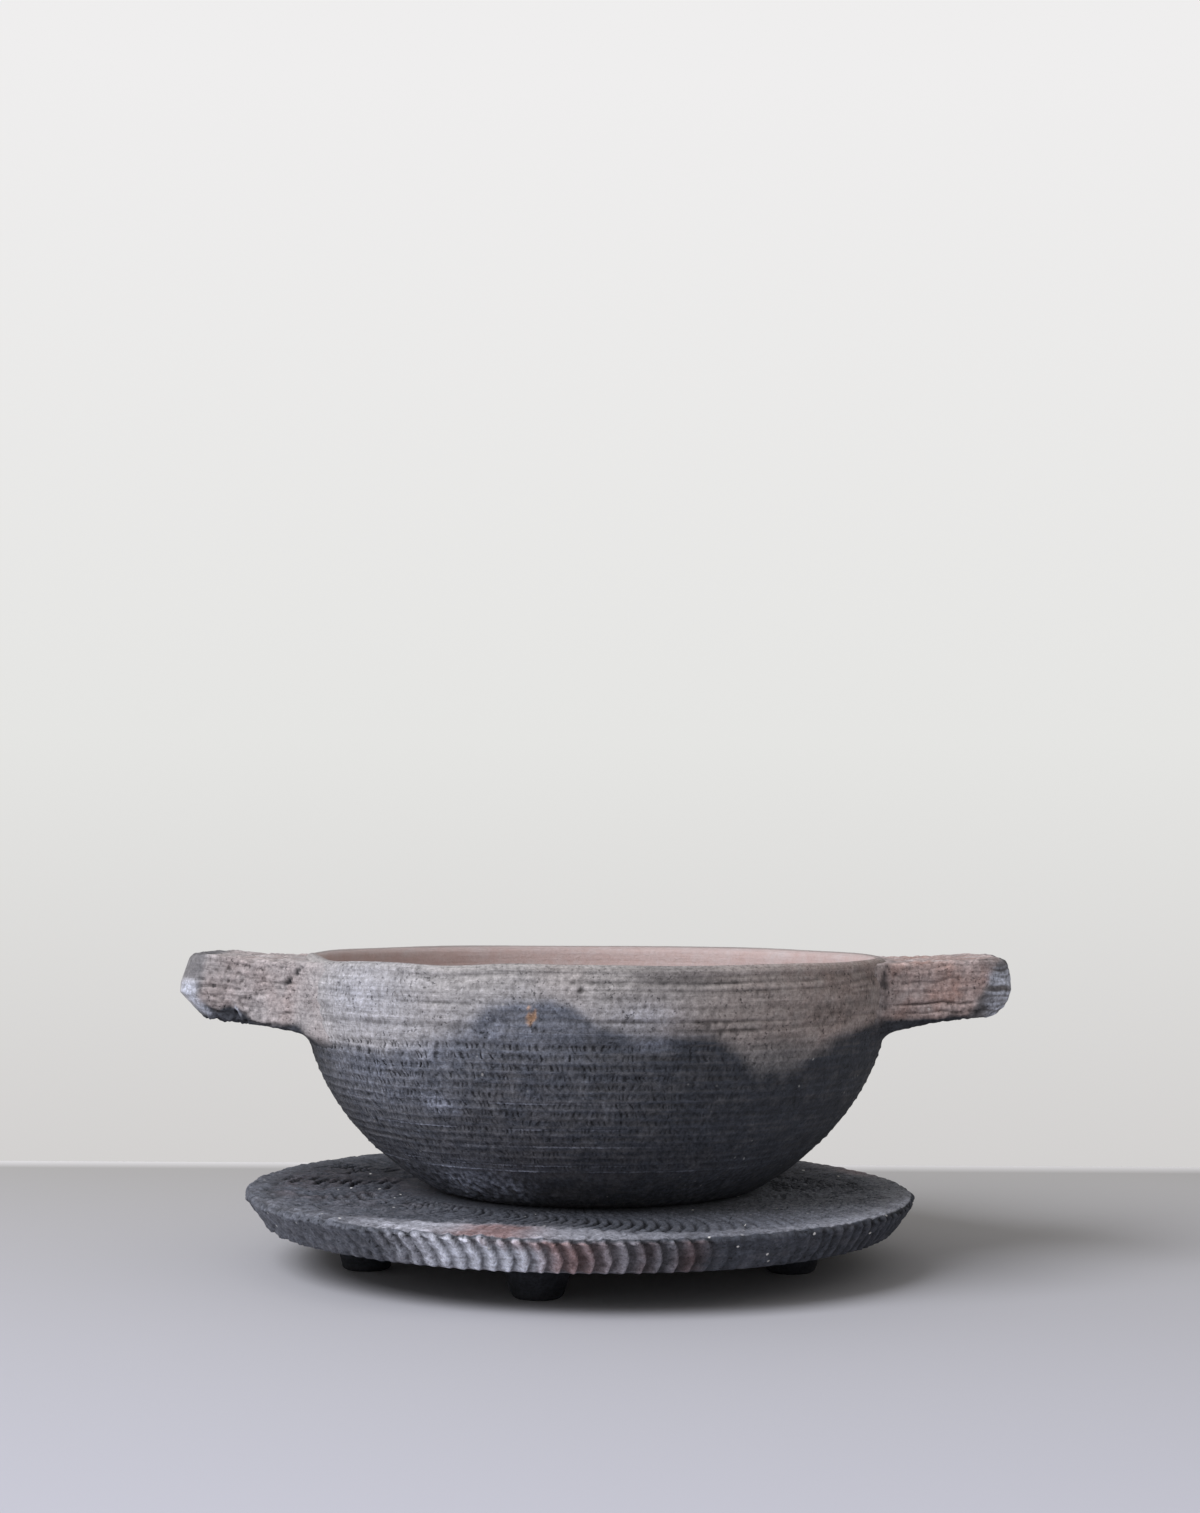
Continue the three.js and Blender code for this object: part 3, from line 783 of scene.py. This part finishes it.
# The handles' clay flushed to a pinkish brown, with shorter drag marks.
handle_clay = smoked_stoneware(
    "smoked_handle_stoneware", "#b3afaf", "#b08b7f", "#3b3d43", "#cdd1de", (22, 22, 1.3), 0.4
)
handle_cell = (0.75, 0.9, 0.6)
root_radius = 109.2
root_flare = 10
root_sag = 5
sag_length = 0.06
tip_half_width = 28
tip_corner = 16
crack_reach = 111.4
crack_height = 109.6
handle_soot = 0.06

# The two slabs were cut and fired apart, so each has its own form, tears and colours. Sizes are in mm, and
# the lean of the tip is given from the under side, at -1, to the top, at 1.
handles = (
    {
        "node": "left_handle", "side": -1,
        "root_top": 2.0, "root_under": 28.9, "tip_rise": 0.3, "thick": 24.7, "edge": 2.8,
        "smear": 20, "smear_length": 0.15, "tip_lean": ((-1, 9.5), (-0.2, 0), (0.1, 0.2), (1, 4)),
        "pleat": 3.0, "groove_length": 8, "pits": 1.7, "rough_edge": 1.5, "seam": 0.0, "crack": 1.0,
        "flush": 0.28, "end_soot": 0.65, "end_reach": 12, "end_slant": -3, "black_below": 0,
        "end_ash_and_sheen": 0.9, "end_rubbed": 0.9, "tip_ash": 0.0,
    },
    {
        "node": "right_handle", "side": 1,
        "root_top": 1.6, "root_under": 27.9, "tip_rise": 0.6, "thick": 22.6, "edge": 4,
        "smear": 12, "smear_length": 0.08,
        "tip_lean": ((-1, 6), (-0.5, 1.4), (-0.1, 0), (0.5, 0.6), (1, 2.2)),
        "pleat": 3.8, "groove_length": 20, "pits": 0.9, "rough_edge": 0.6, "seam": 0.8, "crack": 0.0,
        "flush": 0.7, "end_soot": 0.75, "end_reach": 14, "end_slant": 6.6, "black_below": 66.4,
        "end_ash_and_sheen": 0.25, "end_rubbed": 0.2, "tip_ash": 1.15,
    },
)
for form in handles:
    handle = slab(form["node"] + "_clay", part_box(form["node"]), handle_cell)
    low, high = (np.array(corner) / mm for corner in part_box(form["node"]))
    side = form["side"]
    points = points_of(handle)
    reach = abs(points[:, 0])
    root_end = min(abs(low[0]), abs(high[0]))
    tip_end = max(abs(low[0]), abs(high[0]))

    # A block with round edges, except at the root, which the wall hides.
    size = np.array((tip_end - root_end, high[1] - low[1], high[2] - low[2])) / 2
    block = np.column_stack((reach - root_end - size[0], points[:, 1], points[:, 2] - (low[2] + high[2]) / 2))
    core = np.clip(block, [-np.inf, form["edge"] - size[1], form["edge"] - size[2]], size - form["edge"])
    out = block - core
    square = np.abs(out).max(axis=1)
    slanting = np.maximum(np.linalg.norm(out, axis=1), 1e-9)
    block = core + out * (square / slanting)[:, None]
    share = (block[:, 0] + size[0]) / (2 * size[0])
    across = block[:, 1] / size[1]
    up = block[:, 2] / size[2]

    # In plan it flares into the wall; seen from the front it swells upwards and hangs lower at the root.
    flare = root_flare * (1 - share) ** 2 + form["smear"] * np.exp(-share / form["smear_length"])
    half_width = tip_half_width + flare
    y = across * half_width
    top = seat + pot_height - form["root_top"] + (form["root_top"] + form["tip_rise"]) * share ** 2
    tip_under = pot_height + form["tip_rise"] - form["thick"]
    root_under = pot_height - form["root_under"]
    under = seat + tip_under + (root_under - tip_under) * (1 - share) ** 2
    under -= root_sag * np.exp(-share / sag_length)
    z = under + (top - under) * (up + 1) / 2
    lean = np.interp(up, *zip(*form["tip_lean"]))
    rounded = np.clip((np.abs(y) - tip_half_width + tip_corner) / tip_corner, 0, 1)
    lean = lean + tip_corner * (1 - np.sqrt(1 - np.minimum(rounded, 0.999) ** 2))
    root = np.sqrt(root_radius ** 2 - np.minimum(np.abs(y), root_radius - 1) ** 2)
    x = side * (root + share * (tip_end - lean * ease(0.3, 1, share) - root))
    set_points(handle, np.column_stack((x, y, z)))

    # Torn grooves run out along the sides; the lower edge and the top edge near the wall crumble. The right
    # slab shows its luted seam, and the left one a crack beside the lip.
    points = points_of(handle)
    normals = normals_of(handle)
    on_side = ease(0.3, 0.7, np.abs(normals[:, 1]))
    front = ease(0.1, 0.6, -normals[:, 1])
    facet = ease(0.38, 0.62, side * normals[:, 0]) * form["end_rubbed"] * ease(0.6, 0.75, share)
    free = ease(0.08, 0.2, share)
    wave = 1.7 * mottle(points, 22) + 0.9 * mottle(points, 7)
    pleat = (points[:, 2] + wave) / form["pleat"]
    fold = pleat - np.floor(pleat)
    along = np.column_stack((points[:, :2] / form["groove_length"], np.floor(pleat) * 3.7))
    depth = np.clip(0.35 + 1.3 * mottle(along, 1), 0, 1.2)
    grooves = -0.75 * depth * np.exp(-(((fold - 0.5) / 0.12) ** 2)) * (0.35 + 0.65 * on_side)
    fine = np.column_stack((points[:, :2] / form["groove_length"], (points[:, 2] + wave) / 1.1))
    grooves += 0.32 * mottle(fine, 1) * (0.45 + 0.55 * on_side)
    pits = -form["pits"] * np.clip(mottle(points, 1.8) - 0.22, 0, 0.6) * (0.5 + 0.5 * on_side)
    lower_edge = ease(-0.5, -0.85, up) * (0.5 + form["rough_edge"] * ease(0.35, 0.55, share))
    upper_edge = ease(0.7, 0.95, up) * (0.4 + 0.6 * (1 - ease(0.5, 0.7, share)))
    crumbs = 0.9 * mottle(points, 3.2) + 0.5 * mottle(points, 1.7)
    ragged = crumbs * (0.2 + 0.6 * np.maximum(lower_edge, upper_edge))
    seam_off = share - 0.095 + 0.03 * mottle(points, 5)
    seam_at = np.exp(-((seam_off / 0.02) ** 2)) * form["seam"] * np.clip(0.6 + 1.3 * mottle(points, 3), 0, 1)
    crack_out = np.abs(points[:, 0]) - crack_reach
    crack_up = points[:, 2] - crack_height
    crack_off = crack_out + crack_up
    crack_on = np.abs(crack_out - crack_up)
    crack = np.exp(-((crack_off / 0.9 + 0.9 * mottle(points, 3)) ** 2)) * (1 - ease(6, 10, crack_on))
    crack = crack * front * form["crack"] * np.clip(0.7 + 1.2 * mottle(points, 2.5), 0, 1)
    relief = (grooves + pits + ragged) * free * (1 - 0.9 * facet) - 1.2 * crack
    relief -= 0.9 * seam_at * on_side
    set_points(handle, points + normals * relief[:, None])
    store(handle, "grain", points)
    store(handle, "relief", relief * 0.75 + 0.1)

    # Soot lies under the slab and on its end, and at the root the smoke of the wall runs on. Along the left
    # slab's lower edge the dark is soot and painted shade. Ash and a painted sheen lie where the end was
    # rubbed.
    if form["black_below"]:
        black_line = seat + form["black_below"] + 1.2 * mottle(points, 7)
        soot_and_shade_below = 1 - ease(-1.2, 2.2, points[:, 2] - black_line)
    else:
        # The left slab's lower edge: soot and painted shade.
        low_edge = up + 0.3 * mottle(points, 9) - 0.25 * side * (1 - ease(0.4, 0.6, share))
        soot_and_shade_below = ease(-0.45, -0.8, low_edge)
    end_line = np.abs(points[:, 0]) - form["end_slant"] * up + 2 * mottle(points, 9)
    end = ease(tip_end - form["end_reach"], tip_end - form["end_reach"] + 4, end_line)
    smoke = np.maximum(handle_soot + 0.3 * np.clip(mottle(points, 14), 0, 1), soot_and_shade_below * 1.1)
    smoke = np.maximum(smoke, form["end_soot"] * end * (1 - 0.8 * facet * (1 - ease(0.1, 0.4, up))))
    bearing = bearing_of(points)
    soot_line = np.interp(bearing, *zip(*smoke_edge)) + 1.8 * mottle(points, 14)
    on_wall = 1 - ease(-3, 3, points[:, 2] - seat - soot_line)
    at_root = 1 - ease(0.05, 0.14, share)
    smoke = smoke * (1 - at_root) + np.maximum(on_wall, handle_soot) * at_root
    store(handle, "smoke", np.maximum(smoke, np.maximum(seam_at * 0.9, crack)))
    rosy = form["flush"] * (0.75 + 0.6 * mottle(points, 12)) * ease(-0.2, 0.3, share)
    store(handle, "flush", np.clip(rosy * (1 - 0.8 * end), 0, 1))
    # Pale ash on the rubbed end, with a painted sheen where the facet faces outwards, most on the left slab.
    ash = form["end_ash_and_sheen"] * facet * front * ease(-1, -0.65, up) * (1 - ease(0.0, 0.35, up))
    tip_ash = form["tip_ash"] * ease(tip_end - 14, tip_end - 6, np.abs(points[:, 0]))
    tip_ash *= 1 - ease(0.3, 1, up)
    store(handle, "ash", np.clip(ash + tip_ash * (0.6 + 1.3 * mottle(fine, 1)), 0, 1))
    store(handle, "torn", (0.75 + 0.25 * soot_and_shade_below) * (1 - facet))
    store(handle, "rubbed", facet)
    handle.data.materials.append(handle_clay)
    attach(handle, "pot")
    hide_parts(form["node"])


# Table, light and camera
# A plain pale table top with a soft back edge, under one broad window light from the left and an even
# room light. The camera stands at the photograph's place, a little above the rim.
table_back = 0.28
table_side = 1.6
soft_edge = 0.026
near_reflection_end = -0.35
bpy.ops.object.select_all(action="DESELECT")
bpy.ops.mesh.primitive_plane_add(size=1)
table = bpy.context.object
table.name = "table_top"
bpy.ops.object.mode_set(mode="EDIT")
bpy.ops.mesh.select_all(action="SELECT")
bpy.ops.transform.resize(value=(2 * table_side, table_side + table_back, 1))
bpy.ops.transform.translate(value=(0, (table_back - table_side) / 2, 0))
bpy.ops.object.mode_set(mode="OBJECT")
table_paint = bpy.data.materials.new("matt_pale_table")
table_paint.use_nodes = True
tree = table_paint.node_tree
shader = tree.nodes["Principled BSDF"]
shader.inputs["Roughness"].default_value = 0.8
shader.inputs["Specular IOR Level"].default_value = 0.2
place = add_node(tree, "TexCoord", {}).outputs["Object"]
way_back = add_node(tree, "SeparateXYZ", {"Vector": place}).outputs["Y"]
far = add_node(
    tree, "MapRange",
    {"Value": way_back, "From Min": near_reflection_end, "From Max": table_back, "To Min": 0, "To Max": 1},
).outputs[0]
# Near the camera the table is bluer and lighter, a painted reflection of the sky; further back it is greyer.
tone_and_reflection = add_node(
    tree, "MixRGB", {"Fac": far, "Color1": linear("#c4c4cc"), "Color2": linear("#b2b0ad")}
).outputs[0]
fade = add_node(
    tree, "MapRange",
    {"Value": way_back, "From Min": table_back - soft_edge, "From Max": table_back, "To Min": 0, "To Max": 1},
).outputs[0]
tone_and_reflection = add_node(tree, "MixRGB", {"Fac": fade, "Color1": tone_and_reflection, "Color2": linear("#e6e4e3")}).outputs[0]
tree.links.new(tone_and_reflection, shader.inputs["Base Color"])
table.data.materials.append(table_paint)

# The room lights a little more from the window's side. The camera sees a pale wall that darkens downwards.
lit_strength = 0.62
dim_strength = 0.36
wall_foot = -0.13
wall_middle = 0.06
wall_top = 0.34
world = bpy.data.worlds.new("pale_room")
bpy.context.scene.world = world
world.use_nodes = True
tree = world.node_tree
room = tree.nodes["Background"]
room.inputs["Color"].default_value = linear("#f6f4f2")
way = add_node(tree, "TexCoord", {}).outputs["Generated"]
heading = add_node(tree, "SeparateXYZ", {"Vector": way})
level = heading.outputs["Z"]
lit_side = add_node(
    tree, "MapRange",
    {
        "Value": heading.outputs["X"], "From Min": -1, "From Max": 1,
        "To Min": lit_strength, "To Max": dim_strength,
    },
).outputs[0]
tree.links.new(lit_side, room.inputs["Strength"])
low_wall = add_node(
    tree, "MapRange",
    {"Value": level, "From Min": wall_foot, "From Max": wall_middle, "To Min": 0, "To Max": 1},
).outputs[0]
high_wall = add_node(
    tree, "MapRange",
    {"Value": level, "From Min": wall_middle, "From Max": wall_top, "To Min": 0, "To Max": 1},
).outputs[0]
wall_colour = add_node(
    tree, "MixRGB", {"Fac": low_wall, "Color1": linear("#d2d0cf"), "Color2": linear("#e5e5e3")}
).outputs[0]
wall_colour = add_node(
    tree, "MixRGB", {"Fac": high_wall, "Color1": wall_colour, "Color2": linear("#efeeee")}
).outputs[0]
wall_tone = add_node(tree, "Background", {"Color": wall_colour, "Strength": 1})
seen = add_node(tree, "LightPath", {})
mixed = add_node(
    tree, "MixShader", {0: seen.outputs["Is Camera Ray"], 1: room.outputs[0], 2: wall_tone.outputs[0]}
)
tree.links.new(mixed.outputs[0], tree.nodes["World Output"].inputs["Surface"])

bpy.ops.object.select_all(action="DESELECT")
window_place = (-1.65, -1.25, 2.1)
window_off = math.hypot(window_place[0], window_place[1])
aim_height = 0.06
bpy.ops.object.light_add(type="AREA", location=window_place)
window = bpy.context.object
window.name = "window_light"
window.data.size = 1.8
window.data.energy = 78
window.data.color = linear("#f4f6ff")[:3]
window_tilt = math.atan2(window_off, window_place[2] - aim_height)
window.rotation_euler = (window_tilt, 0, math.atan2(window_place[0], -window_place[1]))

# The camera was fitted to the rim, the plate and the seat of the pot. Its focal length is in picture points.
photo_width = 1200
photo_height = 1513
focal_pixels = 2242
camera_place = (0.0014, -0.8721, 0.1463)
pitch_up = 3.065
roll = 0.3
bpy.ops.object.camera_add(location=camera_place)
camera = bpy.context.object
camera.name = "photo_camera"
camera.rotation_euler = (math.radians(90 + pitch_up), math.radians(-roll), 0)
camera.data.sensor_width = 36
camera.data.lens = camera.data.sensor_width * focal_pixels / max(photo_width, photo_height)
camera.data.clip_start = 0.01
bpy.context.scene.camera = camera
bpy.context.scene.view_settings.view_transform = "Standard"
